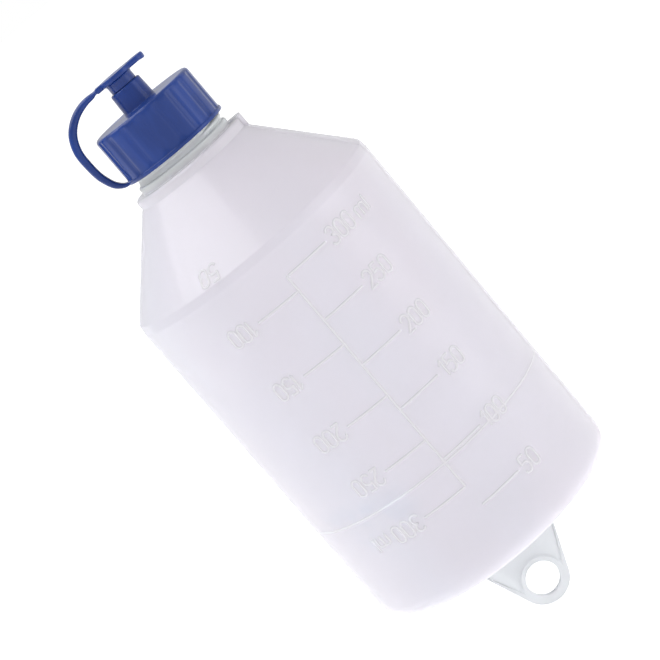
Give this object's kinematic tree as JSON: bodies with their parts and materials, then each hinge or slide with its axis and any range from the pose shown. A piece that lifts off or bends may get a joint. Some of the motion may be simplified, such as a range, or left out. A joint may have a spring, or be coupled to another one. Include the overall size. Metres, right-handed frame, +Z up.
{
  "type": "urine bottle",
  "caption": "Round graduated urine bottle with a screw cap, open nozzle, tethered plug and a fold-out hanging tab under its base.",
  "frame": {"origin": "centre of the standing ring under the base, on the plane that the bottle stands on", "axes": "+Z up the bottle's axis towards the cap; -Y is the front with the graduations; +X is to the right seen from the front, the plug's strap is on -X"},
  "size_m": [0.0706, 0.0707, 0.1717],
  "materials": {
    "bottle_plastic": "natural translucent polyethylene, faintly waxy",
    "tab_plastic": "natural translucent polyethylene, satin",
    "washer_rubber": "matt white elastomer",
    "cap_plastic": "blue moulded polyethylene, satin with faint flutes"
  },
  "bodies": {
    "bottle": {"bottle_shell": "bottle_plastic"},
    "tab": {"hanging_tab": "tab_plastic"},
    "washer": {"sealing_washer": "washer_rubber"},
    "cap": {"screw_cap": "cap_plastic", "plug_strap": "cap_plastic"},
    "plug": {"plug": "cap_plastic"}
  },
  "joints": [
    {"name": "cap_lift", "type": "slide", "parent": "bottle", "child": "washer", "axis": [0, 0, 1], "range_m": [0, 0.0128]},
    {"name": "cap_turn", "type": "hinge", "parent": "washer", "child": "cap", "pos_m": [0, 0, 0.1355], "axis": [0, 0, 1], "range_deg": [0, 1080]},
    {"name": "plug_pull", "type": "slide", "parent": "cap", "child": "plug", "axis": [0, 0, 1], "range_m": [0, 0.009], "deforming": ["plug_strap"]},
    {"name": "tab_fold", "type": "hinge", "parent": "bottle", "child": "tab", "pos_m": [0, 0, 0.0024], "axis": [1, 0, 0], "range_deg": [-88, 88]}
  ],
  "couplings": [
    {"joint": "cap_lift", "follows": "cap_turn", "m_per_rad": 0.0006737}
  ]
}
